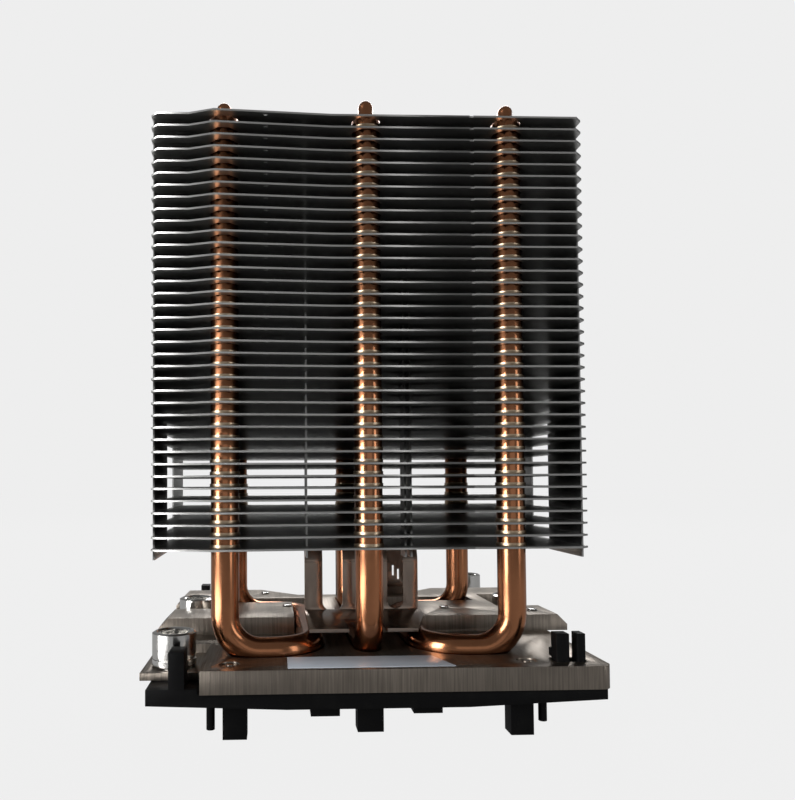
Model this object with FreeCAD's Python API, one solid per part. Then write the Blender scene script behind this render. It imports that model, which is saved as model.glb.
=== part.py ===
"""Passive tower heatsink for a server processor, in millimetres.

X runs across the tower, Y from the front to the back, Z up.  The origin is the
middle of the base plate's outline, on the surface that the carrier's feet stand on.
Three U-bent heat pipes lie in channels of a milled base plate and carry a stack of
thin fins.  A plastic processor carrier is clipped under the base plate, and four
captive nuts turn in the base plate's ears.
"""

import FreeCAD, Part
import math
import os

V = FreeCAD.Vector

# Base plate
base_left = 43.5
base_right = 44.9
base_length = 113.0
base_thickness = 4.6
base_underside = 9.5
base_corner = 2.0
land_overhang = 0.7
land_half_length = 22.5
land_height = 3.9
land_chamfer = 2.4
dip_half_width = 26.0
dip_floor_half_width = 15.0
dip_floor_y = 12.0
ear_lift = 1.2
ear_thickness = 1.5
ear_reach = 49.2
ear_inset = 12.7
corner_ear_setback = 6.5
corner_ear_length = 17.0
side_ear_half = 9.6
rear_notch_half_width = 32.0
rear_notch_depth = 9.5
pedestal_width = 52.0
pedestal_length = 74.0
pedestal_height = 1.2

# Heat pipes
pipe_diameter = 6.0
leg_pitch = 30.9
row_distance = 46.0
front_row_y = -43.0
tower_shift = -1.5
run_pitch = 12.3
pipe_sink = 2.4
leg_bend = 7.5
run_bend = 9.0
channel_clearance = 0.3
leg_margin = 0.1
tip_diameter = 3.2
tip_taper = 0.8
tip_rise_left = 3.7
tip_rise_centre = 4.6
tip_rise_right = 3.9

# Fins
fin_count = 37
fin_pitch = 2.576
fin_thickness = 0.4
fin_width = 93.2
fin_shift = -1.2
fin_overhang = 3.5
fin_corner = 1.5
first_fin_z = 36.3
fin_hole_clearance = 0.03
fin_hole_sides = 8
bulge_depth = 1.8
bulge_left = 38.5
bulge_crest = 33.0
bulge_right = 8.0
tab_length = 5.0
tab_setback = 6.0
tab_places = (-13.5, 8.2, 9.5)

# Captive nuts
nut_edge_distance = 6.2
nut_corner_distance = 6.0
nut_diameter = 9.2
nut_height = 7.0
nut_rim = 0.5
nut_neck_diameter = 6.0
nut_neck_clearance = 0.08
nut_seat_gap = 0.3
nut_thread_radius = 1.65
nut_thread_depth = 7.0
nut_drive_across = 5.6
nut_drive_depth = 2.4
groove_diameter = 5.0
groove_height = 0.8
neck_end = 0.6
ring_diameter = 8.4
ring_thickness = 0.6
ring_clearance = 0.05
ring_gap_width = 3.2

# Support bracket
sheet = 0.8
foot_left = -14.3
foot_right = 14.2
foot_front_y = -41.0
foot_front_right = 9.4
foot_taper_y = -24.0
upright_y = -17.0
finger_places = ((-12.05, 4.5), (-2.6, 4.2), (4.8, 3.4), (12.35, 3.7))
finger_root_radius = 2.0
finger_curl = 6.0
foot_notch_half = 4.2
foot_notch_end = -30.0
roof_front_y = -8.0
roof_right = 18.9
rear_panel_left = -4.0
rear_panel_slots = ((12.4, 23.4), (13.9, 22.3))
panel_slot_width = 0.6
panel_slot_height = 3.0

# Carrier
carrier_half_width = 45.5
carrier_end_inset = 0.5
carrier_thickness = 3.2
carrier_end_rise = 1.1
carrier_flat_half = 18.0
window_half_width = 29.0
window_half_length = 39.0
window_corner = 3.0
nut_opening = 10.4
corner_pad_height = 1.0
foot_line_inset = 4.0
foot_half_depth = 2.0
foot_places = (
    (-29.8, 2.4, 0.0),
    (-11.9, 2.9, 4.3),
    (-2.9, 2.6, 1.1),
    (8.6, 2.9, 4.6),
    (27.5, 2.3, 0.0),
)
pin_radius = 0.85
pin_places = ((-34.7, 1.5), (32.3, 2.2))
hook_clearance = 0.4
latch_nose = 0.9
latch_nose_height = 1.6
slot_hook_height = 19.6
slot_hook_x = 35.2
slot_hook_split = 37.8
slot_hook_relief = 1.7
slot_hook_end = 41.1
slot_hook_inset = 3.9
slot_hook_depth = 3.0
edge_hook_x = -42.6
edge_hook_width = 3.1
edge_hook_height = 17.6
edge_hook_catch = 0.8
rear_post_width = 2.8
rear_post_depth = 4.5
rear_post_height = 15.3

# Label and small marks
label_left = -19.3
label_right = 14.0
label_slant = 3.0
label_front_inset = 1.2
label_pipe_gap = 0.6
label_thickness = 0.15
dimple_radius = 2.1
dimple_depth = 0.3
dimple_core_radius = 0.8
dimple_xs = (-30.9, 29.4)
dimple_inset = 5.3

# Land pins
pin_head_radius = 1.2
pin_head_height = 0.5
pin_shank_radius = 0.7
pin_shank_length = 2.5
pin_shank_clearance = 0.3
land_pin_places = ((-24.5, 14.8), (-18.5, -6.8), (22.1, -11.7), (43.3, -16.7))

# Worked out
pipe_radius = pipe_diameter / 2
half_length = base_length / 2
base_top = base_underside + base_thickness
land_top = base_top + land_height
run_z = base_top + pipe_radius - pipe_sink
rear_row_y = front_row_y + row_distance
stack_top = first_fin_z + (fin_count - 1) * fin_pitch + fin_thickness
leg_end_z = stack_top + leg_margin
ear_bottom = base_underside + ear_lift
ear_top = ear_bottom + ear_thickness
ear_inner = ear_reach - ear_inset
land_half_width = ear_reach + land_overhang
corner_ear_end = half_length - corner_ear_setback
corner_ear_start = corner_ear_end - corner_ear_length
nut_x = ear_reach - nut_edge_distance
nut_corner_y = corner_ear_end - nut_corner_distance
ring_groove_z = ear_bottom - nut_seat_gap - groove_height
carrier_half_length = half_length - carrier_end_inset
carrier_top = base_underside
carrier_bottom = carrier_top - carrier_thickness
pad_top = carrier_top + corner_pad_height
foot_line_y = carrier_half_length - foot_line_inset
hook_front_y = slot_hook_inset - half_length
hook_back_y = hook_front_y + slot_hook_depth
outer_radii = [leg_bend, run_bend, run_bend, leg_bend]
centre_radii = [leg_bend, leg_bend]
nut_places = {
    "front_left": (-nut_x, -nut_corner_y),
    "side_left": (-nut_x, 0.0),
    "side_right": (nut_x, 0.0),
    "rear_right": (nut_x, nut_corner_y),
}


def block(x0, x1, y0, y1, z0, z1):
    """A box between two corners."""
    return Part.makeBox(x1 - x0, y1 - y0, z1 - z0, V(x0, y0, z0))


def rod(radius, height, x, y, z):
    """An upright cylinder standing on z."""
    return Part.makeCylinder(radius, height, V(x, y, z))


def prism(points, z0, height):
    """An upright prism on a closed outline."""
    corners = [V(x, y, z0) for x, y in points]
    wire = Part.makePolygon(corners + corners[:1])
    return Part.Face(wire).extrude(V(0, 0, height))


def half_turn(shape):
    """A copy turned half a turn about the base plate's middle."""
    copy = shape.copy()
    copy.rotate(V(0, 0, 0), V(0, 0, 1), 180)
    return copy


def bar_between(start, end, radius):
    """A round bar from one point to another."""
    run = end - start
    return Part.makeCylinder(radius, run.Length, start, run)


def tube_along(corners, radii, radius):
    """A round bar with straight runs through the corners, joined by tangent bends."""
    pieces = []
    start = corners[0]
    for before, corner, after, bend in zip(corners, corners[1:], corners[2:], radii):
        into = (corner - before).normalize()
        out = (after - corner).normalize()
        first = corner - into * bend
        pieces.append(bar_between(start, first, radius))
        section = Part.Face(Part.Wire([Part.makeCircle(radius, first, into)]))
        pieces.append(section.revolve(first + out * bend, into.cross(out), 90))
        start = corner + out * bend
    pieces.append(bar_between(start, corners[-1], radius))
    return pieces[0].fuse(pieces[1:])


def outer_run_corners(side, top):
    """Corner points of an outer heat pipe's centre line, front leg first."""
    leg_x = tower_shift + side * leg_pitch
    run_x = tower_shift + side * run_pitch
    return [
        V(leg_x, front_row_y, top),
        V(leg_x, front_row_y, run_z),
        V(run_x, front_row_y, run_z),
        V(run_x, rear_row_y, run_z),
        V(leg_x, rear_row_y, run_z),
        V(leg_x, rear_row_y, top),
    ]


def centre_run_corners(top):
    """Corner points of the centre heat pipe's centre line."""
    return [
        V(tower_shift, front_row_y, top),
        V(tower_shift, front_row_y, run_z),
        V(tower_shift, rear_row_y, run_z),
        V(tower_shift, rear_row_y, top),
    ]


def pipe_tip(x, y, z, rise):
    """The pinched end of a heat pipe: a taper, a narrow neck and a small dome."""
    tip_radius = tip_diameter / 2
    neck_length = rise - leg_margin - tip_taper - tip_radius
    taper = Part.makeCone(pipe_radius, tip_radius, tip_taper, V(x, y, z))
    neck = rod(tip_radius, neck_length, x, y, z + tip_taper)
    dome = Part.makeSphere(tip_radius, V(x, y, z + tip_taper + neck_length))
    return taper.fuse([neck, dome])


def heat_pipe(corners, radii, rise):
    """One U-bent heat pipe whose two pinched tips rise above the stack."""
    pipe = tube_along(corners, radii, pipe_radius)
    for end in (corners[0], corners[-1]):
        pipe = pipe.fuse(pipe_tip(end.x, end.y, end.z, rise))
    return pipe.removeSplitter()


def pipe_channel(corners, radii):
    """Room for one heat pipe in the base plate, open to the top."""
    width = pipe_radius + channel_clearance
    low = [V(c.x, c.y, c.z) for c in corners]
    low[0].z = low[-1].z = run_z + leg_bend + width
    room = tube_along(low, radii, width)
    flat = corners[1:-1]
    height = land_top + 1 - run_z
    for start, end in zip(flat, flat[1:]):
        room = room.fuse(channel_slot(start, end, width, height))
    return room


def channel_slot(start, end, width, height):
    """The straight-sided part of a channel above one run of a pipe."""
    x0 = min(start.x, end.x) - width
    x1 = max(start.x, end.x) + width
    y0 = min(start.y, end.y) - width
    y1 = max(start.y, end.y) + width
    return block(x0, x1, y0, y1, run_z, run_z + height)


def base_plate():
    """The milled base plate: slab, raised land, thin ears and rear end, pipe channels."""
    slab = block(-base_left, base_right, -half_length, land_half_length, base_underside, base_top)
    corner = V(base_right, -half_length, base_underside + base_thickness / 2)
    front_right = [edge for edge in slab.Edges if (edge.CenterOfMass - corner).Length < 1e-6]
    slab = slab.makeFillet(base_corner, front_right)
    rear_end = block(-base_left, base_right, land_half_length, half_length, base_underside, ear_top)
    notch = block(
        -rear_notch_half_width,
        rear_notch_half_width,
        half_length - rear_notch_depth,
        half_length,
        base_underside,
        ear_top,
    )
    corner_cut = block(
        -land_half_width,
        -ear_inner,
        -half_length,
        -corner_ear_start,
        base_underside,
        base_top,
    )
    side_cut = block(-land_half_width, -ear_inner, -side_ear_half, side_ear_half, base_underside, land_top)
    plate = slab.fuse([rear_end.cut(notch), raised_land()])
    for cut in (corner_cut, side_cut):
        plate = plate.cut(cut).cut(half_turn(cut))
    corner_ear = block(-ear_reach, -ear_inner, -corner_ear_end, -corner_ear_start, ear_bottom, ear_top)
    side_ear = block(-ear_reach, -ear_inner, -side_ear_half, side_ear_half, ear_bottom, ear_top)
    for ear in (corner_ear, side_ear):
        plate = plate.fuse(ear).fuse(half_turn(ear))
    pedestal = block(
        -pedestal_width / 2,
        pedestal_width / 2,
        -pedestal_length / 2,
        pedestal_length / 2,
        base_underside - pedestal_height,
        base_underside,
    )
    plate = plate.fuse(pedestal)
    for side in (-1, 1):
        plate = plate.cut(pipe_channel(outer_run_corners(side, stack_top), outer_radii))
    plate = plate.cut(pipe_channel(centre_run_corners(stack_top), centre_radii))
    hole_radius = nut_neck_diameter / 2 + nut_neck_clearance
    for x, y in nut_places.values():
        plate = plate.cut(rod(hole_radius, ear_thickness, x, y, ear_bottom))
    slot = block(
        slot_hook_x - hook_clearance,
        slot_hook_end + hook_clearance,
        hook_front_y - hook_clearance,
        hook_back_y + hook_clearance,
        base_underside,
        base_top,
    )
    plate = plate.cut(slot).cut(half_turn(slot))
    for x in dimple_xs:
        y = dimple_inset - half_length
        ring = rod(dimple_radius, dimple_depth, x, y, base_top - dimple_depth)
        plate = plate.cut(ring.cut(rod(dimple_core_radius, dimple_depth, x, y, base_top - dimple_depth)))
    shank_room = pin_shank_radius + pin_shank_clearance
    shank_depth = pin_shank_length + pin_shank_clearance
    for x, y in land_pin_places:
        plate = plate.cut(rod(shank_room, shank_depth, x, y, land_top - shank_depth))
    return plate.removeSplitter()


def raised_land():
    """The raised middle of the base plate, chamfered at its ends and dipped at the back."""
    x = land_half_width
    y = land_half_length
    land = block(-x, x, -y, y, base_top, land_top)
    ends = (V(-x, 0, land_top), V(x, 0, land_top))
    crests = [edge for edge in land.Edges if min((edge.CenterOfMass - end).Length for end in ends) < 1e-6]
    land = land.makeChamfer(land_chamfer, crests)
    dip = [
        (-dip_half_width, y),
        (-dip_floor_half_width, dip_floor_y),
        (dip_floor_half_width, dip_floor_y),
        (dip_half_width, y),
    ]
    return land.cut(prism(dip, base_top, land_height))


def captive_nut(x, y):
    """A round nut with a hexagon socket and a grooved neck that runs through the ear."""
    seat = ear_top + nut_seat_gap
    body = rod(nut_diameter / 2, nut_height, x, y, seat)
    rim = [edge for edge in body.Edges if edge.Closed and edge.CenterOfMass.z > seat + nut_rim]
    body = body.makeChamfer(nut_rim, rim)
    neck = rod(nut_neck_diameter / 2, seat - ring_groove_z, x, y, ring_groove_z)
    neck = neck.cut(rod(nut_neck_diameter, groove_height, x, y, ring_groove_z))
    groove = rod(groove_diameter / 2, groove_height, x, y, ring_groove_z)
    end = rod(nut_neck_diameter / 2, neck_end, x, y, ring_groove_z - neck_end)
    nut = body.fuse([neck, groove, end])
    thread = rod(nut_thread_radius, nut_thread_depth, x, y, ring_groove_z - neck_end)
    socket = hexagon(nut_drive_across, x, y, seat + nut_height - nut_drive_depth, nut_drive_depth)
    return nut.cut(thread).cut(socket).removeSplitter()


def retaining_ring(x, y):
    """The open ring in a nut's groove, below the ear."""
    z = ring_groove_z + (groove_height - ring_thickness) / 2
    ring = rod(ring_diameter / 2, ring_thickness, x, y, z)
    ring = ring.cut(rod(groove_diameter / 2 + ring_clearance, ring_thickness, x, y, z))
    half_gap = ring_gap_width / 2
    outward = math.copysign(ring_diameter, x)
    gap = block(min(x, x + outward), max(x, x + outward), y - half_gap, y + half_gap, z, z + ring_thickness)
    return ring.cut(gap)


def hexagon(across, x, y, z, height):
    """An upright hexagonal prism."""
    reach = across / math.sqrt(3)
    points = []
    for corner in range(6):
        angle = math.radians(60 * corner)
        points.append((x + reach * math.cos(angle), y + reach * math.sin(angle)))
    return prism(points, z, height)


def fin_outline():
    """The fin's outline: straight sides, clipped corners and a bulge in the front edge."""
    half = fin_width / 2
    front = front_row_y - fin_overhang
    back = rear_row_y + fin_overhang
    crest = front - bulge_depth
    points = [
        (-half, front + fin_corner),
        (-half + fin_corner, front),
        (-bulge_left, front),
        (-bulge_crest, crest),
        (-bulge_right, front),
        (half - fin_corner, front),
        (half, front + fin_corner),
        (half, back - fin_corner),
        (half - fin_corner, back),
        (-half + fin_corner, back),
        (-half, back - fin_corner),
    ]
    return [(fin_shift + x, y) for x, y in points]


def fin_holes():
    """The six pipe holes of a fin, as the tools that cut them."""
    flat = pipe_radius + fin_hole_clearance
    reach = flat / math.cos(math.pi / fin_hole_sides)
    holes = []
    for column in (-1, 0, 1):
        for y in (front_row_y, rear_row_y):
            x = tower_shift + column * leg_pitch
            points = []
            for corner in range(fin_hole_sides):
                angle = 2 * math.pi * (corner + 0.5) / fin_hole_sides
                points.append((x + reach * math.cos(angle), y + reach * math.sin(angle)))
            holes.append(prism(points, 0, fin_thickness))
    return holes


def fin():
    """One stamped fin at height 0, its side flanges and tabs folded down to the fin below."""
    plate = prism(fin_outline(), 0, fin_thickness)
    for hole in fin_holes():
        plate = plate.cut(hole)
    drop = fin_pitch - fin_thickness
    half = fin_width / 2
    front = front_row_y - fin_overhang + fin_corner
    back = rear_row_y + fin_overhang - fin_corner
    left = fin_shift - half
    right = fin_shift + half
    folds = [
        block(left, left + fin_thickness, front, back, -drop, 0),
        block(right - fin_thickness, right, front, back, -drop, 0),
    ]
    tab_front = front_row_y - fin_overhang + tab_setback
    for place in tab_places:
        x = tower_shift + place
        folds.append(block(x, x + fin_thickness, tab_front, tab_front + tab_length, -drop, 0))
    return plate.fuse(folds).removeSplitter()


def support_bracket():
    """The folded sheet: a foot, fingers curled over into a roof under the fins, a rear panel."""
    top = first_fin_z
    foot_outline = [
        (foot_left, upright_y),
        (foot_left, foot_front_y),
        (foot_front_right, foot_front_y),
        (foot_right, foot_taper_y),
        (foot_right, upright_y),
    ]
    notch = block(
        tower_shift - foot_notch_half,
        tower_shift + foot_notch_half,
        foot_front_y,
        foot_notch_end,
        land_top,
        land_top + sheet,
    )
    foot = prism(foot_outline, land_top, sheet).cut(notch)
    curl_y = upright_y + finger_curl
    curl_z = top - finger_curl
    roof = block(foot_left, roof_right, roof_front_y, dip_floor_y, top - sheet, top)
    pipe_hole = rod(pipe_radius + channel_clearance, sheet, tower_shift, rear_row_y, top - sheet)
    parts = [roof.cut(pipe_hole)]
    for x, width in finger_places:
        left = x - width / 2
        outer = Part.makeCylinder(finger_curl, width, V(left, curl_y, curl_z), V(1, 0, 0))
        inner = Part.makeCylinder(finger_curl - sheet, width, V(left, curl_y, curl_z), V(1, 0, 0))
        quarter = block(left, left + width, upright_y, curl_y, curl_z, top)
        parts.append(outer.cut(inner).common(quarter))
        parts.append(block(left, left + width, upright_y, upright_y + sheet, land_top, curl_z))
        parts.append(block(left, left + width, curl_y, roof_front_y, top - sheet, top))
    parts.append(finger_roots())
    panel = block(rear_panel_left, roof_right, dip_floor_y - sheet, dip_floor_y, land_top, top)
    for x, z in rear_panel_slots:
        slot = block(
            x,
            x + panel_slot_width,
            dip_floor_y - sheet,
            dip_floor_y,
            z,
            z + panel_slot_height,
        )
        panel = panel.cut(slot)
    parts.append(panel)
    return foot.fuse(parts).removeSplitter()


def finger_roots():
    """The low web between the fingers, with rounded notches."""
    web_top = land_top + sheet + finger_root_radius
    web = block(foot_left, foot_right, upright_y, upright_y + sheet, land_top, web_top)
    for (x, width), (next_x, next_width) in zip(finger_places, finger_places[1:]):
        left = x + width / 2
        right = next_x - next_width / 2
        middle = (left + right) / 2
        radius = (right - left) / 2
        round_end = Part.makeCylinder(radius, sheet, V(middle, upright_y, web_top), V(0, 1, 0))
        web = web.cut(round_end)
    return web


def carrier():
    """The moulded processor carrier: open frame, feet, locating pins and hooks."""
    half = carrier_half_width
    flat = carrier_flat_half
    low = carrier_bottom
    high = low + carrier_end_rise
    profile = [
        (-half, carrier_top),
        (-half, high),
        (-flat, low),
        (flat, low),
        (half, high),
        (half, carrier_top),
    ]
    points = [V(tower_shift + x, -carrier_half_length, z) for x, z in profile]
    face = Part.Face(Part.makePolygon(points + points[:1]))
    frame = face.extrude(V(0, 2 * carrier_half_length, 0))
    window = block(
        tower_shift - window_half_width,
        tower_shift + window_half_width,
        -window_half_length,
        window_half_length,
        low,
        carrier_top,
    )
    corners = [edge for edge in window.Edges if abs(edge.Length - carrier_thickness) < 1e-6]
    frame = frame.cut(window.makeFillet(window_corner, corners))
    left_end = tower_shift - half
    right_end = tower_shift + half
    pad_inner = ear_inner + hook_clearance
    pad_end = carrier_half_length
    front_pad = block(left_end, -pad_inner, -pad_end, -corner_ear_start, carrier_top, pad_top)
    rear_pad = block(pad_inner, right_end, corner_ear_start, pad_end, carrier_top, pad_top)
    frame = frame.fuse([front_pad, rear_pad])
    for x, y in nut_places.values():
        frame = frame.cut(rod(nut_opening / 2, pad_top - low, x, y, low))
    for side in (-1, 1):
        y = side * foot_line_y
        for place, half_width, bottom in foot_places:
            foot = block(
                place - half_width,
                place + half_width,
                y - foot_half_depth,
                y + foot_half_depth,
                bottom,
                carrier_top,
            )
            frame = frame.fuse(foot)
        for place, bottom in pin_places:
            frame = frame.fuse(rod(pin_radius, carrier_top - bottom, place, y, bottom))
    front_hooks = slot_hook(base_top).fuse(edge_hook())
    rear_hooks = half_turn(slot_hook(ear_top).fuse(edge_hook()))
    rear_post = block(
        left_end,
        left_end + rear_post_width,
        carrier_half_length - rear_post_depth,
        carrier_half_length,
        carrier_top,
        rear_post_height,
    )
    return frame.fuse([front_hooks, rear_hooks, rear_post]).removeSplitter()


def slot_hook(caught_top):
    """The split hook that comes up through the base plate's slot and snaps over its top."""
    nose_z = caught_top + hook_clearance
    front = hook_front_y
    back = hook_back_y
    first = block(slot_hook_x, slot_hook_split, front, back, carrier_top, slot_hook_height)
    second_x = slot_hook_split + slot_hook_relief
    second = block(second_x, slot_hook_end, front, back, carrier_top, slot_hook_height)
    reach = hook_clearance + latch_nose
    nose = block(slot_hook_x, slot_hook_split, back, back + reach, nose_z, nose_z + latch_nose_height)
    return first.fuse([second, nose])


def edge_hook():
    """The hook in the plate's cut corner that catches the front edge of the thin ear."""
    x0 = edge_hook_x
    x1 = edge_hook_x + edge_hook_width
    front = -carrier_half_length
    back = -corner_ear_end - hook_clearance
    nose_z = ear_top + hook_clearance
    post = block(x0, x1, front, back, carrier_top, edge_hook_height)
    nose = block(x0, x1, back, edge_hook_catch - corner_ear_end, nose_z, nose_z + latch_nose_height)
    return post.fuse(nose)


def label():
    """The bare label on the front of the base plate."""
    front = label_front_inset - half_length
    back = front_row_y - pipe_radius - label_pipe_gap
    outline = [
        (label_left, front),
        (label_right, front),
        (label_right - label_slant, back),
        (label_left, back),
    ]
    return prism(outline, base_top, label_thickness)


def land_pins():
    """The small pins pressed into the raised land."""
    pins = []
    for x, y in land_pin_places:
        head = rod(pin_head_radius, pin_head_height, x, y, land_top)
        shank = rod(pin_shank_radius, pin_shank_length, x, y, land_top - pin_shank_length)
        pins.append(head.fuse(shank))
    return Part.makeCompound(pins)


def save(name, shape):
    """Write one node."""
    shape.exportStep(os.path.join("parts", name + ".step"))


def main():
    """Build every node."""
    os.makedirs("parts", exist_ok=True)
    save("base_plate", base_plate())
    save("heat_pipe_left", heat_pipe(outer_run_corners(-1, leg_end_z), outer_radii, tip_rise_left))
    save("heat_pipe_centre", heat_pipe(centre_run_corners(leg_end_z), centre_radii, tip_rise_centre))
    save("heat_pipe_right", heat_pipe(outer_run_corners(1, leg_end_z), outer_radii, tip_rise_right))
    for place, (x, y) in nut_places.items():
        save("captive_nut_" + place, captive_nut(x, y))
        save("retaining_ring_" + place, retaining_ring(x, y))
    save("support_bracket", support_bracket())
    save("processor_carrier", carrier())
    save("label", label())
    save("land_pins", land_pins())
    stamped = fin()
    for index in range(fin_count):
        copy = stamped.copy()
        copy.translate(V(0, 0, first_fin_z + index * fin_pitch))
        save("fin_%02d" % (index + 1), copy)


main()
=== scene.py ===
"""Looks of a passive tower heatsink for a server processor, laid out as an add-on."""

import math

import bmesh
import bpy
from mathutils import Matrix, Vector


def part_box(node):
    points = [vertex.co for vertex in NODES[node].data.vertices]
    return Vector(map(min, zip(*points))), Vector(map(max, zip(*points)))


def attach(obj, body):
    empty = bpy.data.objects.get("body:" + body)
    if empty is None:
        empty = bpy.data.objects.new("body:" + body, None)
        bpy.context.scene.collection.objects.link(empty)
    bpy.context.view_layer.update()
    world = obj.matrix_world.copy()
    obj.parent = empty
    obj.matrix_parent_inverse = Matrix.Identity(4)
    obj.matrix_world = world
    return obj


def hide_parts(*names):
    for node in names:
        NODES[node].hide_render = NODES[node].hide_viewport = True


bl_info = {
    "name": "Tower heatsink dressing",
    "version": (1, 0, 0),
    "blender": (4, 5, 0),
    "location": "View3D > Sidebar > Heatsink",
    "description": "Builds and finishes the pieces of a passive tower heatsink",
    "category": "Object",
}

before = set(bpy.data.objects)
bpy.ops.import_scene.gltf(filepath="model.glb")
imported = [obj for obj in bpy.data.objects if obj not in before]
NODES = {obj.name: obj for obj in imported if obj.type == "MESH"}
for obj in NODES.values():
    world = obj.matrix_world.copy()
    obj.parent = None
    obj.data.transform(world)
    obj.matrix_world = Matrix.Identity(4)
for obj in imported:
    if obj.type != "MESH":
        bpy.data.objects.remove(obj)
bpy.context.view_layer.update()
MAIN_BODY = "heatsink"
NUT_PLACES = ("front_left", "side_left", "side_right", "rear_right")
FIN_NAMES = sorted(name for name in NODES if name.startswith("fin_"))
FIRST_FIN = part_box(FIN_NAMES[0])
SECOND_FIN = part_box(FIN_NAMES[1])
FIN_PITCH = SECOND_FIN[1].z - FIRST_FIN[1].z
STACK_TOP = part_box(FIN_NAMES[-1])[1].z
UP = Vector((0, 0, 1))
IN_PLACE = Vector((0, 0, 0))

# Metres
MERGE_DISTANCE = 0.000002
SAME_LEVEL = 0.000001
LEG_MARGIN = 0.0001
COLLAR_CLEARANCE = 0.00002
CUT_MARGIN = 0.001
NICK_REACH = Vector((0.0004, 0.00025, 0.001))
SHEET_EDGE = 0.0002
MOULDED_EDGE = 0.0003
FILM_EDGE = 0.00004


# Sizes and colours -------------------------------------------------------


class HeatsinkSizes(bpy.types.PropertyGroup):
    """Sizes that a user may change."""

    pipe_radius: bpy.props.FloatProperty(
        name="Pipe radius",
        description="Radius of the heat pipes",
        default=0.003,
        unit="LENGTH",
    )
    leg_bend: bpy.props.FloatProperty(
        name="Leg bend",
        description="Bend radius where a pipe turns up",
        default=0.0075,
        unit="LENGTH",
    )
    run_bend: bpy.props.FloatProperty(
        name="Run bend",
        description="Bend radius in the base channels",
        default=0.009,
        unit="LENGTH",
    )
    tip_radius: bpy.props.FloatProperty(
        name="Tip radius",
        description="Radius of the pinched pipe tip",
        default=0.0016,
        unit="LENGTH",
    )
    tip_taper: bpy.props.FloatProperty(
        name="Tip taper",
        description="Height of the taper below the tip",
        default=0.0008,
        unit="LENGTH",
    )
    collar_height: bpy.props.FloatProperty(
        name="Collar height",
        description="Height of a fin's drawn collar",
        default=0.0008,
        unit="LENGTH",
    )
    collar_wall: bpy.props.FloatProperty(
        name="Collar wall",
        description="Wall of a fin's collar",
        default=0.0002,
        unit="LENGTH",
    )
    collar_flare: bpy.props.FloatProperty(
        name="Collar flare",
        description="Reach of the collar's foot",
        default=0.0004,
        unit="LENGTH",
    )
    sheet_thickness: bpy.props.FloatProperty(
        name="Sheet thickness",
        description="Thickness of a fin",
        default=0.0004,
        unit="LENGTH",
    )
    flange_set_back: bpy.props.FloatProperty(
        name="Flange set back",
        description="From the fin's front to its side flanges",
        default=0.0055,
        unit="LENGTH",
    )
    nick_place: bpy.props.FloatProperty(
        name="Nick place",
        description="From the fin's middle to each nick in its front edge",
        default=0.0222,
        unit="LENGTH",
    )
    flange_front: bpy.props.FloatProperty(
        name="Front flange",
        description="From the fin's front to the opening in its flanges",
        default=0.0238,
        unit="LENGTH",
    )
    flange_opening: bpy.props.FloatProperty(
        name="Flange opening",
        description="Length of the opening in the side flanges",
        default=0.0112,
        unit="LENGTH",
    )
    edge_break: bpy.props.FloatProperty(
        name="Edge break",
        description="Width of the broken edges",
        default=0.00025,
        unit="LENGTH",
    )
    nut_radius: bpy.props.FloatProperty(
        name="Nut radius",
        description="Radius of a captive nut",
        default=0.0046,
        unit="LENGTH",
    )


class HeatsinkFinishes(bpy.types.PropertyGroup):
    """Colours that a user may change."""

    copper: bpy.props.FloatVectorProperty(
        name="Copper",
        description="Bare copper of the pipes",
        default=(0.55, 0.235, 0.115),
        size=3,
        subtype="COLOR",
    )
    plating: bpy.props.FloatVectorProperty(
        name="Plating",
        description="Plated base",
        default=(0.30, 0.26, 0.22),
        size=3,
        subtype="COLOR",
    )
    fin_sheet: bpy.props.FloatVectorProperty(
        name="Fin sheet",
        description="Aluminium fins",
        default=(0.48, 0.48, 0.47),
        size=3,
        subtype="COLOR",
    )
    bright: bpy.props.FloatVectorProperty(
        name="Bright plating",
        description="Nuts and pins",
        default=(0.74, 0.73, 0.71),
        size=3,
        subtype="COLOR",
    )
    black_plastic: bpy.props.FloatVectorProperty(
        name="Black plastic",
        description="Carrier",
        default=(0.003, 0.003, 0.0033),
        size=3,
        subtype="COLOR",
    )
    film: bpy.props.FloatVectorProperty(
        name="Label film",
        description="Bare label",
        default=(0.66, 0.72, 0.80),
        size=3,
        subtype="COLOR",
    )
    backdrop: bpy.props.FloatVectorProperty(
        name="Backdrop",
        description="Floor and backdrop",
        default=(0.88, 0.88, 0.88),
        size=3,
        subtype="COLOR",
    )


def sizes():
    """The size settings."""
    return bpy.context.scene.heatsink_sizes


def colours():
    """The colour settings."""
    return bpy.context.scene.heatsink_finishes


# Shader sums -------------------------------------------------------------


class Value:
    """A shader socket that takes part in sums."""

    def __init__(self, finish, socket):
        self.finish = finish
        self.socket = socket

    def math(self, operation, other):
        return self.finish.node("ShaderNodeMath", {"operation": operation}, {0: self, 1: other})

    def __add__(self, other):
        return self.math("ADD", other)

    def __mul__(self, other):
        return self.math("MULTIPLY", other)

    __radd__ = __add__
    __rmul__ = __mul__


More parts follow.
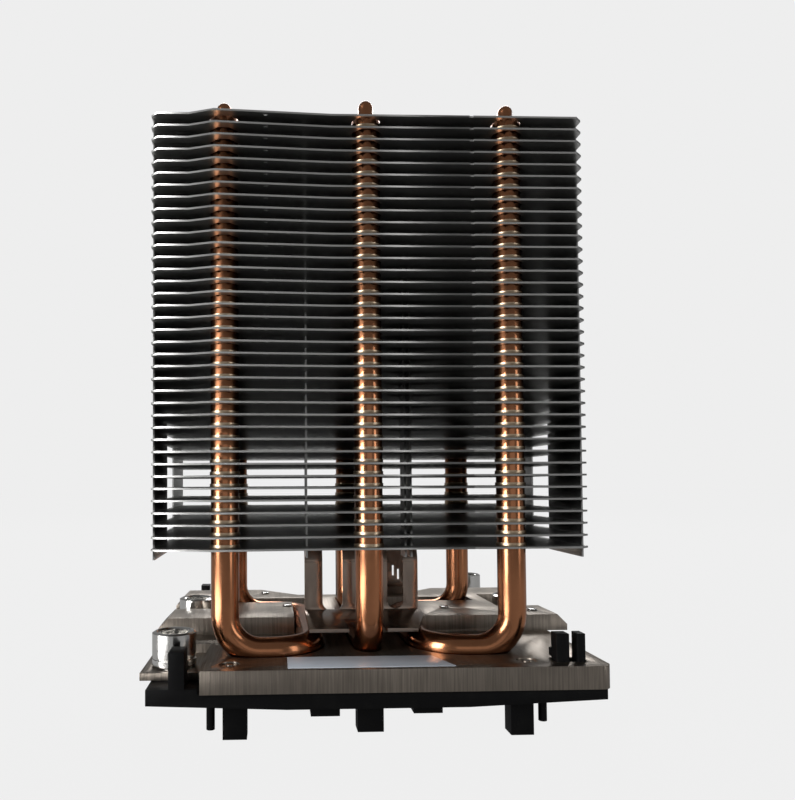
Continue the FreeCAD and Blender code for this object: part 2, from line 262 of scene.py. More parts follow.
class Finish:
    """A material whose nodes are written as calls and sums."""

    def __init__(self, name):
        self.material = bpy.data.materials.new(name)
        self.material.use_nodes = True
        self.tree = self.material.node_tree
        self.tree.nodes.clear()

    def node(self, kind, settings=None, inputs=None, output=0):
        made = self.tree.nodes.new(kind)
        for key, setting in (settings or {}).items():
            if key == "stops":
                self.set_stops(made.color_ramp, setting)
            else:
                setattr(made, key, setting)
        for key, given in (inputs or {}).items():
            if isinstance(given, Value):
                self.tree.links.new(given.socket, made.inputs[key])
            else:
                made.inputs[key].default_value = given
        return Value(self, made.outputs[output])

    def set_stops(self, ramp, stops):
        while len(ramp.elements) < len(stops):
            ramp.elements.new(1.0)
        for element, (place, level) in zip(ramp.elements, stops):
            element.position = place
            element.color = (level, level, level, 1.0)

    def place(self, stretch):
        """Object coordinates, stretched."""
        coordinates = self.node("ShaderNodeTexCoord", output="Object")
        return self.node("ShaderNodeMapping", inputs={"Vector": coordinates, "Scale": stretch})

    def noise(self, scale, detail, stretch=(1, 1, 1)):
        return self.node(
            "ShaderNodeTexNoise",
            inputs={"Vector": self.place(stretch), "Scale": scale, "Detail": detail},
        )

    def ramp(self, value, stops):
        return self.node("ShaderNodeValToRGB", {"stops": stops}, {"Fac": value})

    def blend(self, factor, first, second):
        """A mix of two colours."""
        return self.node(
            "ShaderNodeMix",
            {"data_type": "RGBA"},
            {"Factor": factor, 6: as_colour(first), 7: as_colour(second)},
            output=2,
        )

    def bump(self, height, depth):
        inputs = {"Height": height, "Distance": depth, "Strength": 1.0}
        return self.node("ShaderNodeBump", inputs=inputs)

    def surface(self, **inputs):
        """Close the material with the principled surface."""
        named = {}
        for key, given in inputs.items():
            named[key.replace("_", " ").title().replace("Ior", "IOR")] = given
        if not isinstance(named["Base Color"], Value):
            named["Base Color"] = as_colour(named["Base Color"])
        shader = self.node("ShaderNodeBsdfPrincipled", inputs=named)
        return self.output(shader)

    def output(self, shader):
        last = self.tree.nodes.new("ShaderNodeOutputMaterial")
        self.tree.links.new(shader.socket, last.inputs["Surface"])
        return self.material


def as_colour(given):
    """A colour with its alpha, or the socket as it is."""
    if isinstance(given, Value):
        return given
    return (*given[:3], 1.0)


def scaled(colour, factor):
    """A colour made darker or lighter."""
    return tuple(min(1.0, channel * factor) for channel in colour[:3])


# Finishes ----------------------------------------------------------------

BROWNED_COPPER = (0.30, 0.12, 0.06)
STEEL_TONES = ((0.30, 0.30, 0.31), (0.42, 0.42, 0.42))
# Bronze-brown bracket tones: a painted reflection of the copper pipes on the steel sheet.
BRACKET_TONES_WITH_PAINTED_REFLECTION = ((0.26, 0.19, 0.15), (0.42, 0.35, 0.30))
# Copper and cream collar tones: a painted reflection of the copper pipes on the aluminium collars.
COLLAR_PAINTED_REFLECTION_TONES = ((0.42, 0.30, 0.20), (0.62, 0.50, 0.36))
DUST = (0.009, 0.009, 0.0085)


def copper_finish():
    """Polished copper, slightly streaked, browner in places."""
    finish = Finish("bare_copper")
    base = colours().copper
    streaks = finish.noise(900.0, 4.0, (1, 1, 0.12))
    patches = finish.noise(120.0, 3.0)
    browning = finish.ramp(patches, [(0.35, 0.0), (0.7, 1.0)])
    tone = finish.blend(browning, scaled(base, 0.72), base)
    tone = finish.blend(streaks * 0.35, tone, BROWNED_COPPER)
    rough = 0.12 + finish.noise(260.0, 3.0) * 0.14
    normal = finish.bump(streaks, 0.00001)
    return finish.surface(base_color=tone, metallic=1.0, roughness=rough, normal=normal)


def plated_finish():
    """Milled and plated metal with fine cutter marks and faint stains."""
    finish = Finish("milled_plating")
    base = colours().plating
    across = finish.noise(2600.0, 2.0, (1, 0.04, 0.03))
    along = finish.noise(420.0, 3.0, (1, 0.25, 0.25))
    stains = finish.noise(55.0, 5.0)
    marks = finish.ramp(across, [(0.38, 0.0), (0.62, 1.0)])
    staining = finish.ramp(stains, [(0.35, 0.0), (0.68, 1.0)])
    tone = finish.blend(staining, scaled(base, 0.70), base)
    tone = finish.blend(marks * 0.6, tone, scaled(base, 0.4))
    tone = finish.blend(along * 0.25, tone, scaled(base, 1.5))
    rough = 0.22 + along * 0.16 + stains * 0.08
    normal = finish.bump(across + along * 0.5, 0.00004)
    return finish.surface(base_color=tone, metallic=1.0, roughness=rough, normal=normal)


def fin_finish():
    """Rolled aluminium sheet with faint rolling lines."""
    finish = Finish("fin_sheet")
    base = colours().fin_sheet
    lines = finish.noise(700.0, 2.0, (0.05, 1, 1))
    clouds = finish.noise(60.0, 4.0)
    clouding = finish.ramp(clouds, [(0.3, 0.0), (0.75, 1.0)])
    tone = finish.blend(clouding, scaled(base, 0.8), base)
    rough = 0.3 + lines * 0.14
    normal = finish.bump(lines, 0.000006)
    return finish.surface(base_color=tone, metallic=1.0, roughness=rough, normal=normal)


def bright_finish():
    """Bright plating with a little turning grain."""
    finish = Finish("bright_plating")
    base = colours().bright
    grain = finish.noise(1500.0, 2.0, (0.1, 0.1, 1))
    tone = finish.blend(grain * 0.4, base, scaled(base, 0.78))
    rough = 0.1 + grain * 0.12
    normal = finish.bump(grain, 0.000006)
    return finish.surface(base_color=tone, metallic=1.0, roughness=rough, normal=normal)


def steel_finish():
    """Plain spring steel."""
    finish = Finish("spring_steel")
    grain = finish.noise(900.0, 3.0)
    tone = finish.blend(grain, *STEEL_TONES)
    return finish.surface(base_color=tone, metallic=1.0, roughness=0.28 + grain * 0.14)


def bracket_finish():
    """Bent sheet, a little cloudy, tinted bronze-brown as a painted reflection of the copper pipes.
    """
    finish = Finish("bent_sheet")
    clouds = finish.noise(140.0, 4.0)
    lines = finish.noise(900.0, 2.0, (1, 1, 0.06))
    # The cloudy mix runs between two bronze-brown tones that are a painted copper reflection.
    tone = finish.blend(clouds, *BRACKET_TONES_WITH_PAINTED_REFLECTION)
    rough = 0.14 + lines * 0.14
    normal = finish.bump(lines, 0.000006)
    return finish.surface(base_color=tone, metallic=1.0, roughness=rough, normal=normal)


def plastic_finish():
    """Black moulded plastic with a fine grain."""
    finish = Finish("black_moulding")
    base = colours().black_plastic
    grain = finish.noise(2600.0, 2.0)
    dust = finish.noise(300.0, 4.0)
    tone = finish.blend(finish.ramp(dust, [(0.5, 0.0), (0.9, 0.6)]), base, DUST)
    rough = 0.46 + grain * 0.14
    return finish.surface(
        base_color=tone,
        metallic=0.0,
        roughness=rough,
        specular_ior_level=0.12,
        normal=finish.bump(grain, 0.00002),
    )


def film_finish():
    """Bare label film, pale with a faint sheen."""
    finish = Finish("label_film")
    base = colours().film
    clouds = finish.noise(160.0, 3.0)
    tone = finish.blend(clouds, scaled(base, 0.9), scaled(base, 1.08))
    rough = 0.3 + clouds * 0.1
    normal = finish.bump(clouds, 0.00001)
    return finish.surface(base_color=tone, metallic=0.15, roughness=rough, normal=normal)


def collar_finish():
    """The fins' aluminium collars, with a copper tint painted in as a reflection of the pipes
    beside them.
    """
    finish = Finish("collar_rims")
    shade = finish.noise(1400.0, 2.0)
    # Noise mixes two copper-tinted tones, both a painted reflection of the pipes.
    tone = finish.blend(shade, *COLLAR_PAINTED_REFLECTION_TONES)
    return finish.surface(base_color=tone, metallic=1.0, roughness=0.24 + shade * 0.14)


# Modelling steps ---------------------------------------------------------


def begin():
    """Nothing selected, object mode."""
    if bpy.context.object and bpy.context.object.mode != "OBJECT":
        bpy.ops.object.mode_set(mode="OBJECT")
    bpy.ops.object.select_all(action="DESELECT")


def choose(piece):
    """Select one piece alone and make it active."""
    begin()
    piece.select_set(True)
    bpy.context.view_layer.objects.active = piece


def edit(piece):
    """Open a piece for editing, with nothing of it selected."""
    choose(piece)
    bpy.ops.object.mode_set(mode="EDIT")
    bpy.ops.mesh.select_mode(type="VERT")
    bpy.ops.mesh.select_all(action="DESELECT")


def pick(piece, test):
    """Select only the points of an open piece that pass the test."""
    bpy.ops.mesh.select_all(action="DESELECT")
    mesh = bmesh.from_edit_mesh(piece.data)
    for vertex in mesh.verts:
        vertex.select_set(bool(test(vertex.co)))
    mesh.select_flush(True)
    bmesh.update_edit_mesh(piece.data)


def middle_of_picked(piece):
    """The middle of the selected points."""
    mesh = bmesh.from_edit_mesh(piece.data)
    places = [vertex.co.copy() for vertex in mesh.verts if vertex.select]
    return sum(places, Vector()) / len(places)


def settle_place(piece):
    """Put a piece's place in its mesh."""
    choose(piece)
    bpy.ops.object.transform_apply(location=True, rotation=True, scale=True)


def settle(piece, name, body, finish):
    """Put the piece's place in its mesh, name it, let it ride and give it its finish."""
    settle_place(piece)
    piece.name = name
    piece.data.name = name
    piece.data.materials.clear()
    piece.data.materials.append(finish)
    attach(piece, body)
    return piece


def apply_modifier(piece, kind, **settings):
    """Add a modifier and apply it."""
    choose(piece)
    modifier = piece.modifiers.new(kind.lower(), kind)
    for key, setting in settings.items():
        setattr(modifier, key, setting)
    bpy.ops.object.modifier_apply(modifier=modifier.name)


def smooth(piece, degrees):
    """Smooth shading up to an angle."""
    choose(piece)
    bpy.ops.object.shade_smooth_by_angle(angle=math.radians(degrees))


def outward(piece):
    """Merge doubles and turn every face outwards."""
    edit(piece)
    bpy.ops.mesh.select_all(action="SELECT")
    bpy.ops.mesh.remove_doubles(threshold=MERGE_DISTANCE)
    bpy.ops.mesh.normals_make_consistent(inside=False)
    bpy.ops.object.mode_set(mode="OBJECT")


def push(offset):
    """Extrude the selection by an offset."""
    bpy.ops.mesh.extrude_region_move(TRANSFORM_OT_translate={"value": tuple(offset)})


def swell(centre, factor):
    """Scale the selection across X and Y about a centre."""
    bpy.ops.transform.resize(value=(factor, factor, 1.0), center_override=tuple(centre))


def ring_in_place(centre, factor):
    """Extrude the selected ring without moving it and scale it."""
    push(IN_PLACE)
    swell(centre, factor)


def remove(piece):
    """Delete a piece that has done its work."""
    choose(piece)
    bpy.ops.object.delete()


def plain_copy(node, name):
    """A merged copy of a CAD node."""
    piece = bpy.data.objects.new(name, NODES[node].data.copy())
    bpy.context.scene.collection.objects.link(piece)
    edit(piece)
    bpy.ops.mesh.select_all(action="SELECT")
    bpy.ops.mesh.remove_doubles(threshold=MERGE_DISTANCE)
    bpy.ops.mesh.dissolve_limited(angle_limit=math.radians(1.0))
    bpy.ops.object.mode_set(mode="OBJECT")
    return piece


def dressed_copy(node, name, width):
    """A merged copy of a CAD node with its sharp edges broken."""
    piece = plain_copy(node, name)
    apply_modifier(
        piece,
        "BEVEL",
        width=width,
        segments=2,
        limit_method="ANGLE",
        angle_limit=math.radians(30.0),
        use_clamp_overlap=True,
    )
    smooth(piece, 35.0)
    return piece


# Heat pipes --------------------------------------------------------------


def turn(centre, axis):
    """Spin the selected ring a quarter turn about an axis."""
    bpy.ops.mesh.spin(
        steps=9,
        angle=-math.pi / 2,
        center=tuple(centre),
        axis=tuple(axis),
        use_auto_merge=False,
    )


def close_tip(piece, rise):
    """Taper the selected ring to a narrow neck and close it with a dome."""
    reached = sizes().pipe_radius
    tip = sizes().tip_radius
    taper = sizes().tip_taper
    shoulders = ((0.2, 0.94), (0.55, 0.74), (0.85, 0.57))
    steps = [(reached * width, taper * height) for height, width in shoulders]
    steps.append((tip, taper))
    steps.append((tip, rise - tip))
    for step in range(1, 6):
        angle = step * math.pi / 12
        steps.append((tip * math.cos(angle), rise - tip + tip * math.sin(angle)))
    height = 0.0
    for wanted, level in steps:
        push(UP * (level - height))
        swell(middle_of_picked(piece), wanted / reached)
        reached = wanted
        height = level
    push(UP * (rise - height))
    bpy.ops.mesh.merge(type="CENTER")


def bent_pipe(node, side):
    """A heat pipe modelled along its bends; side 0 is the straight-backed centre pipe."""
    low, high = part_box(node)
    radius = sizes().pipe_radius
    leg_bend = sizes().leg_bend
    run_bend = sizes().run_bend
    front_y = low.y + radius
    rear_y = high.y - radius
    run_z = low.z + radius
    leg_x = {-1: low.x + radius, 0: (low.x + high.x) / 2, 1: high.x - radius}[side]
    run_x = {-1: high.x - radius, 0: (low.x + high.x) / 2, 1: low.x + radius}[side]
    stretch = abs(leg_x - run_x) - leg_bend - run_bend
    top = STACK_TOP + LEG_MARGIN
    rise = high.z - top
    begin()
    bpy.ops.mesh.primitive_circle_add(vertices=40, radius=radius, location=(leg_x, front_y, top))
    piece = bpy.context.object
    settle_place(piece)
    edit(piece)
    bpy.ops.mesh.select_all(action="SELECT")
    push(UP * (run_z + leg_bend - top))
    if side == 0:
        turn((leg_x, front_y + leg_bend, run_z + leg_bend), (1, 0, 0))
        push(Vector((0, rear_y - front_y - 2 * leg_bend, 0)))
        turn((leg_x, rear_y - leg_bend, run_z + leg_bend), (1, 0, 0))
    else:
        turn((leg_x - side * leg_bend, front_y, run_z + leg_bend), (0, side, 0))
        push(Vector((-side * stretch, 0, 0)))
        turn((run_x + side * run_bend, front_y + run_bend, run_z), (0, 0, -side))
        push(Vector((0, rear_y - front_y - 2 * run_bend, 0)))
        turn((run_x + side * run_bend, rear_y - run_bend, run_z), (0, 0, -side))
        push(Vector((side * stretch, 0, 0)))
        turn((leg_x - side * leg_bend, rear_y, run_z + leg_bend), (0, -side, 0))
    push(UP * (top - run_z - leg_bend))
    close_tip(piece, rise)
    pick(piece, lambda co: abs(co.z - top) < SAME_LEVEL and co.y < (front_y + rear_y) / 2)
    close_tip(piece, rise)
    outward(piece)
    smooth(piece, 60.0)
    return piece


class HEATSINK_OT_pipes(bpy.types.Operator):
    """Bend the three heat pipes"""

    bl_idname = "heatsink.pipes"
    bl_label = "Heat pipes"

    def execute(self, context):
        finish = copper_finish()
        for node, side in (("heat_pipe_left", -1), ("heat_pipe_centre", 0), ("heat_pipe_right", 1)):
            piece = bent_pipe(node, side)
            settle(piece, node + "_bent", MAIN_BODY, finish)
            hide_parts(node)
        return {"FINISHED"}


# Fins and collars --------------------------------------------------------


PIPE_COLUMNS = (
    ("heat_pipe_left", "left"),
    ("heat_pipe_centre", "centre"),
    ("heat_pipe_right", "right"),
)


def collar_column(x, y):
    """The collars of one pipe leg, one above each fin."""
    radius = sizes().pipe_radius + COLLAR_CLEARANCE
    wall = sizes().collar_wall
    flare = sizes().collar_flare
    height = sizes().collar_height
    z = FIRST_FIN[1].z
    begin()
    bpy.ops.mesh.primitive_circle_add(vertices=16, radius=radius, location=(x, y, z + height))
    piece = bpy.context.object
    settle_place(piece)
    edit(piece)
    bpy.ops.mesh.select_all(action="SELECT")
    ring_in_place((x, y, z + height), (radius + wall) / radius)
    push(UP * (wall - height))
    push(UP * -wall)
    swell((x, y, z), (radius + flare) / (radius + wall))
    bpy.ops.object.mode_set(mode="OBJECT")
    apply_modifier(
        piece,
        "ARRAY",
        count=len(FIN_NAMES) - 1,
        use_relative_offset=False,
        use_constant_offset=True,
        constant_offset_displace=(0, 0, FIN_PITCH),
    )
    edit(piece)
    bpy.ops.mesh.select_all(action="SELECT")
    bpy.ops.mesh.normals_make_consistent(inside=False)
    bpy.ops.object.mode_set(mode="OBJECT")
    smooth(piece, 60.0)
    return piece


class HEATSINK_OT_collars(bpy.types.Operator):
    """Add the fins' drawn collars round the pipe legs"""

    bl_idname = "heatsink.collars"
    bl_label = "Fin collars"

    def execute(self, context):
        finish = collar_finish()
        radius = sizes().pipe_radius
        for node, column in PIPE_COLUMNS:
            low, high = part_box(node)
            middle = (low.x + high.x) / 2
            x = {"left": low.x + radius, "centre": middle, "right": high.x - radius}[column]
            for row, y in (("front", low.y + radius), ("rear", high.y - radius)):
                piece = collar_column(x, y)
                settle(piece, "fin_collars_%s_%s" % (row, column), MAIN_BODY, finish)
        return {"FINISHED"}


def cut_box(piece, low, high):
    """Cut a box out of a piece."""
    begin()
    bpy.ops.mesh.primitive_cube_add(size=1.0, location=tuple((low + high) / 2))
    cutter = bpy.context.object
    cutter.scale = high - low
    settle_place(cutter)
    apply_modifier(piece, "BOOLEAN", operation="DIFFERENCE", solver="EXACT", object=cutter)
    remove(cutter)


def folded_fin():
    """The lowest fin, with open flanges and two small nicks in its front edge."""
    low, high = FIRST_FIN
    sheet = high.z - sizes().sheet_thickness
    set_back = low.y + sizes().flange_set_back
    opening = low.y + sizes().flange_front
    piece = plain_copy(FIN_NAMES[0], "folded_fin")
    ahead = (low.y - CUT_MARGIN, set_back)
    for start, end in (ahead, (opening, opening + sizes().flange_opening)):
        cut_box(
            piece,
            Vector((low.x - CUT_MARGIN, start, low.z - CUT_MARGIN)),
            Vector((high.x + CUT_MARGIN, end, sheet)),
        )
    middle = (low.x + high.x) / 2
    edge = min(vertex.co.y for vertex in piece.data.vertices if vertex.co.x > middle)
    for side in (-1, 1):
        nick = Vector((middle + side * sizes().nick_place, edge, sheet))
        cut_box(piece, nick - NICK_REACH, nick + NICK_REACH)
    smooth(piece, 30.0)
    return piece


class HEATSINK_OT_fins(bpy.types.Operator):
    """Cut one fin's flange openings and nicks and stack its copies"""

    bl_idname = "heatsink.fins"
    bl_label = "Fins"

    def execute(self, context):
        finish = fin_finish()
        first = folded_fin()
        for count, name in enumerate(FIN_NAMES):
            piece = bpy.data.objects.new(name + "_folded", first.data.copy())
            context.scene.collection.objects.link(piece)
            piece.location.z = count * FIN_PITCH
            settle(piece, name + "_folded", MAIN_BODY, finish)
            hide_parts(name)
        remove(first)
        return {"FINISHED"}


# Base, bracket and carrier ----------------------------------------------


class HEATSINK_OT_base(bpy.types.Operator):
    """Break the base plate's edges and plate it"""

    bl_idname = "heatsink.base"
    bl_label = "Base plate"

    def execute(self, context):
        piece = dressed_copy("base_plate", "base_plate_plated", sizes().edge_break)
        settle(piece, "base_plate_plated", MAIN_BODY, plated_finish())
        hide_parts("base_plate")
        return {"FINISHED"}


class HEATSINK_OT_bracket(bpy.types.Operator):
    """Finish the folded bracket"""

    bl_idname = "heatsink.bracket"
    bl_label = "Support bracket"

    def execute(self, context):
        piece = dressed_copy("support_bracket", "support_bracket_bent", SHEET_EDGE)
        settle(piece, "support_bracket_bent", MAIN_BODY, bracket_finish())
        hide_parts("support_bracket")
        return {"FINISHED"}


class HEATSINK_OT_carrier(bpy.types.Operator):
    """Finish the moulded carrier"""

    bl_idname = "heatsink.carrier"
    bl_label = "Processor carrier"

    def execute(self, context):
        piece = dressed_copy("processor_carrier", "processor_carrier_moulded", MOULDED_EDGE)
        settle(piece, "processor_carrier_moulded", MAIN_BODY, plastic_finish())
        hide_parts("processor_carrier")
        return {"FINISHED"}


class HEATSINK_OT_label(bpy.types.Operator):
    """Lay the bare label"""

    bl_idname = "heatsink.label"
    bl_label = "Label"

    def execute(self, context):
        piece = dressed_copy("label", "label_film", FILM_EDGE)
        settle(piece, "label_film", MAIN_BODY, film_finish())
        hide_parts("label")
        return {"FINISHED"}


class HEATSINK_OT_pins(bpy.types.Operator):
    """Finish the land's small pins"""

    bl_idname = "heatsink.pins"
    bl_label = "Land pins"

    def execute(self, context):
        piece = dressed_copy("land_pins", "land_pins_bright", SHEET_EDGE)
        settle(piece, "land_pins_bright", MAIN_BODY, bright_finish())
        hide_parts("land_pins")
        return {"FINISHED"}


# Captive nuts ------------------------------------------------------------


NUT_HEIGHT = 0.007
NECK_RADIUS = 0.003
NECK_END = 0.0006
GROOVE_RADIUS = 0.0025
GROOVE_HEIGHT = 0.0008
FOOT_EDGE = 0.0002
BAND_START = 0.0012
BAND_DEPTH = 0.00018
BAND_SLOPE = 0.00015
BAND_HEIGHT = 0.0003
RIM_STEPS = ((0.0002, 0.00012), (0.0005, 0.00018))
DISH_RADIUS = 0.00375
DISH_DEPTH = 0.0003
SOCKET_RING = 0.0035
SOCKET_CORNER = 0.93
SOCKET_APOTHEM = 0.0028
SOCKET_DEPTH = 0.0021
MOUTH_RADIUS = 0.00195
MOUTH_DEPTH = 0.0003
CORE_RADIUS = 0.00165
CORE_DEPTH = 0.0067


def nut_steps(height):
    """Radius and rise of each turned step, from the neck's end to the rim."""
    radius = sizes().nut_radius
    band = BAND_START + 2 * BAND_SLOPE + BAND_HEIGHT
    rim = sum(rise for inset, rise in RIM_STEPS)
    neck = height - NUT_HEIGHT - NECK_END - GROOVE_HEIGHT
    steps = [
        (NECK_RADIUS, NECK_END),
        (GROOVE_RADIUS, 0.0),
        (GROOVE_RADIUS, GROOVE_HEIGHT),
        (NECK_RADIUS, 0.0),
        (NECK_RADIUS, neck),
        (radius - FOOT_EDGE, 0.0),
        (radius, FOOT_EDGE),
        (radius, BAND_START),
        (radius - BAND_DEPTH, BAND_SLOPE),
        (radius - BAND_DEPTH, BAND_HEIGHT),
        (radius, BAND_SLOPE),
        (radius, NUT_HEIGHT - FOOT_EDGE - band - rim),
    ]
    return steps + [(radius - inset, rise) for inset, rise in RIM_STEPS]


def turned_nut(place):
    """A nut turned from bar, with a chamfered rim and a six-sided socket."""
    low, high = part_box("captive_nut_" + place)
    x = (low.x + high.x) / 2
    y = (low.y + high.y) / 2
    begin()
    bpy.ops.mesh.primitive_circle_add(vertices=48, radius=NECK_RADIUS, location=(x, y, low.z))
    piece = bpy.context.object
    settle_place(piece)
    edit(piece)
    bpy.ops.mesh.select_all(action="SELECT")
    reached = NECK_RADIUS
    for wanted, rise in nut_steps(high.z - low.z):
        push(UP * rise)
        swell(middle_of_picked(piece), wanted / reached)
        reached = wanted
    ring_in_place(middle_of_picked(piece), DISH_RADIUS / reached)
    push(UP * -DISH_DEPTH)
    swell(middle_of_picked(piece), SOCKET_RING / DISH_RADIUS)
    socket_ring(piece, x, y)
    push(UP * -SOCKET_DEPTH)
    bpy.ops.mesh.edge_face_add()
    pick(piece, lambda co: abs(co.z - low.z) < SAME_LEVEL)
    ring_in_place(middle_of_picked(piece), MOUTH_RADIUS / NECK_RADIUS)
    push(UP * MOUTH_DEPTH)
    swell(middle_of_picked(piece), CORE_RADIUS / MOUTH_RADIUS)
    push(UP * CORE_DEPTH)
    bpy.ops.mesh.edge_face_add()
    outward(piece)
    smooth(piece, 30.0)
    return piece


def socket_ring(piece, x, y):
    """Draw the selected ring in to a six-sided socket."""
    push(IN_PLACE)
    mesh = bmesh.from_edit_mesh(piece.data)
    for vertex in mesh.verts:
        if vertex.select:
            angle = math.atan2(vertex.co.y - y, vertex.co.x - x)
            local = (angle + math.pi / 6) % (math.pi / 3) - math.pi / 6
            reach = min(SOCKET_RING * SOCKET_CORNER, SOCKET_APOTHEM / math.cos(local))
            vertex.co.x = x + reach * math.cos(angle)
            vertex.co.y = y + reach * math.sin(angle)
    bmesh.update_edit_mesh(piece.data)


class HEATSINK_OT_nuts(bpy.types.Operator):
    """Turn the captive nuts and finish their rings"""

    bl_idname = "heatsink.nuts"
    bl_label = "Captive nuts"

    def execute(self, context):
        bright = bright_finish()
        steel = steel_finish()
        for place in NUT_PLACES:
            piece = turned_nut(place)
            settle(piece, "captive_nut_turned_" + place, "nut_" + place, bright)
            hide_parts("captive_nut_" + place)
            ring = NODES["retaining_ring_" + place]
            ring.data.materials.clear()
            ring.data.materials.append(steel)
        return {"FINISHED"}


# Stage -------------------------------------------------------------------

FLOOR_SIZE = 6.0
FLOOR_HEIGHT = -0.0002
FLOOR_SHADE = 0.4
SWEEP_HEIGHT = 4.0
DIM_WORLD = 0.08
WORLD_SHARES = (("Is Camera Ray", 0.80), ("Is Glossy Ray", 0.08), ("Is Transmission Ray", 0.08))

# name, place, aim, size, power
LAMPS = (
    ("key_lamp", (-0.85, -0.55, 0.35), (0, 0, 0.06), (0.4, 0.7), 9.5),
    ("fill_lamp", (0.6, -0.5, 0.25), (0, 0, 0.05), (0.2, 0.5), 0.6),
    ("low_lamp", (-0.17, -0.13, 0.0005), (-0.17, -0.13, 1.0), (0.14, 0.14), 0.5),
    ("front_lamp", (0.1, -1.6, 0.45), (0, 0, 0.06), (1.2, 0.6), 0.7),
    ("back_lamp", (0.1, 0.7, 0.6), (0, 0, 0.06), (0.6, 0.3), 5.0),
)

VIEW_PLACE = (-0.021957, -0.195943, 0.050416)
VIEW_YAW = math.radians(1.919)
VIEW_PITCH = math.radians(1.87)
VIEW_ROLL = math.radians(-0.295)
VIEW_LENS = 32.008365
VIEW_SHIFT = (0.12521, 0.075)


def seen_share(rays):
    """How much of its plain pale colour a backdrop shows to each kind of ray."""
    camera = rays("Is Camera Ray")
    glossy = rays("Is Glossy Ray")
    clear = rays("Is Transmission Ray")
    return camera * 0.97 + (glossy + clear) * 0.2


def backdrop_finish():
    """A pale floor that keeps the shadow."""
    finish = Finish("pale_backdrop")
    base = colours().backdrop
    shade = scaled(base, FLOOR_SHADE)
    diffuse = finish.node("ShaderNodeBsdfDiffuse", inputs={"Color": as_colour(shade)})
    glow = finish.node("ShaderNodeEmission", inputs={"Color": as_colour(base), "Strength": 1.0})
    share = seen_share(lambda kind: finish.node("ShaderNodeLightPath", output=kind))
    mixed = finish.node("ShaderNodeMixShader", inputs={0: share, 1: diffuse, 2: glow})
    return finish.output(mixed)


def pale_world():
    """A dim world that looks pale to the eye."""
    world = bpy.data.worlds.new("pale_world")
    world.use_nodes = True
    tree = world.node_tree
    rays = tree.nodes.new("ShaderNodeLightPath")
    background = tree.nodes["Background"]
    background.inputs["Color"].default_value = (1.0, 1.0, 1.0, 1.0)
    strength = None
    for kind, share in WORLD_SHARES:
        total = tree.nodes.new("ShaderNodeMath")
        total.operation = "MULTIPLY_ADD"
        total.inputs[1].default_value = share
        total.inputs[2].default_value = DIM_WORLD
        tree.links.new(rays.outputs[kind], total.inputs[0])
        if strength:
            tree.links.new(strength, total.inputs[2])
        strength = total.outputs[0]
    tree.links.new(strength, background.inputs["Strength"])
    return world


def area_light(name, place, aim, size, power):
    """A soft rectangular lamp turned to a point."""
    data = bpy.data.lights.new(name, "AREA")
    data.shape = "RECTANGLE"
    data.size, data.size_y = size
    data.energy = power
    lamp = bpy.data.objects.new(name, data)
    bpy.context.scene.collection.objects.link(lamp)
    lamp.location = place
    lamp.rotation_euler = (Vector(aim) - Vector(place)).to_track_quat("-Z", "Y").to_euler()


def add_camera(scene):
    """A camera from its place, angles, lens and shift."""
    data = bpy.data.cameras.new("view")
    camera = bpy.data.objects.new("view", data)
    scene.collection.objects.link(camera)
    scene.camera = camera
    flat = math.cos(VIEW_PITCH)
    ahead = Vector((math.sin(VIEW_YAW) * flat, math.cos(VIEW_YAW) * flat, math.sin(VIEW_PITCH)))
    level = Vector((math.cos(VIEW_YAW), -math.sin(VIEW_YAW), 0))
    raised = level.cross(ahead)
    across = level * math.cos(VIEW_ROLL) + raised * math.sin(VIEW_ROLL)
    above = raised * math.cos(VIEW_ROLL) - level * math.sin(VIEW_ROLL)
    turned = Matrix((across, above, -ahead)).transposed().to_4x4()
    turned.translation = Vector(VIEW_PLACE)
    camera.matrix_world = turned
    data.sensor_width = 36.0
    data.lens = VIEW_LENS
    data.shift_x, data.shift_y = VIEW_SHIFT
    data.clip_start = 0.005
    data.clip_end = 50.0


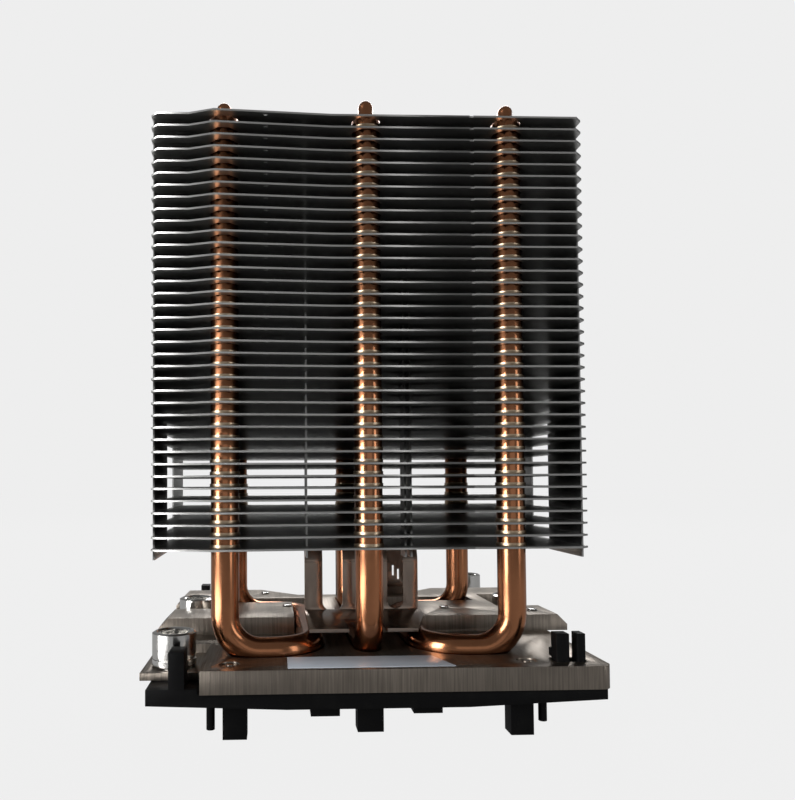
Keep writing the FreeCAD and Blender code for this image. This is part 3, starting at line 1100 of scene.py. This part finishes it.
class HEATSINK_OT_stage(bpy.types.Operator):
    """Set the floor, the lamps and the camera"""

    bl_idname = "heatsink.stage"
    bl_label = "Stage"

    def execute(self, context):
        scene = context.scene
        begin()
        bpy.ops.mesh.primitive_plane_add(size=FLOOR_SIZE, location=(0, 0, FLOOR_HEIGHT))
        floor = context.object
        settle_place(floor)
        edit(floor)
        pick(floor, lambda co: co.y > FLOOR_SIZE / 2 - SAME_LEVEL)
        push(UP * SWEEP_HEIGHT)
        bpy.ops.object.mode_set(mode="OBJECT")
        floor.name = "floor_sweep"
        floor.data.materials.append(backdrop_finish())
        scene.world = pale_world()
        for lamp in LAMPS:
            area_light(*lamp)
        add_camera(scene)
        scene.view_settings.view_transform = "Standard"
        return {"FINISHED"}


# Panel and registration --------------------------------------------------


STEPS = (
    HEATSINK_OT_pipes,
    HEATSINK_OT_collars,
    HEATSINK_OT_fins,
    HEATSINK_OT_base,
    HEATSINK_OT_bracket,
    HEATSINK_OT_carrier,
    HEATSINK_OT_label,
    HEATSINK_OT_pins,
    HEATSINK_OT_nuts,
    HEATSINK_OT_stage,
)


class HEATSINK_PT_panel(bpy.types.Panel):
    """The heatsink's steps and settings"""

    bl_label = "Heatsink"
    bl_idname = "HEATSINK_PT_panel"
    bl_space_type = "VIEW_3D"
    bl_region_type = "UI"
    bl_category = "Heatsink"

    def draw(self, context):
        for step in STEPS:
            self.layout.operator(step.bl_idname)
        for group in (context.scene.heatsink_sizes, context.scene.heatsink_finishes):
            for name in group.__annotations__:
                self.layout.prop(group, name)


CLASSES = (HeatsinkSizes, HeatsinkFinishes, *STEPS, HEATSINK_PT_panel)


def register():
    """Register the classes and their settings."""
    for each in CLASSES:
        bpy.utils.register_class(each)
    bpy.types.Scene.heatsink_sizes = bpy.props.PointerProperty(type=HeatsinkSizes)
    bpy.types.Scene.heatsink_finishes = bpy.props.PointerProperty(type=HeatsinkFinishes)


def unregister():
    """Remove the settings and the classes."""
    del bpy.types.Scene.heatsink_finishes
    del bpy.types.Scene.heatsink_sizes
    for each in reversed(CLASSES):
        bpy.utils.unregister_class(each)


def main():
    """Build every piece."""
    register()
    for step in STEPS:
        group, name = step.bl_idname.split(".")
        getattr(getattr(bpy.ops, group), name)()
    begin()


if __name__ == "__main__":
    main()
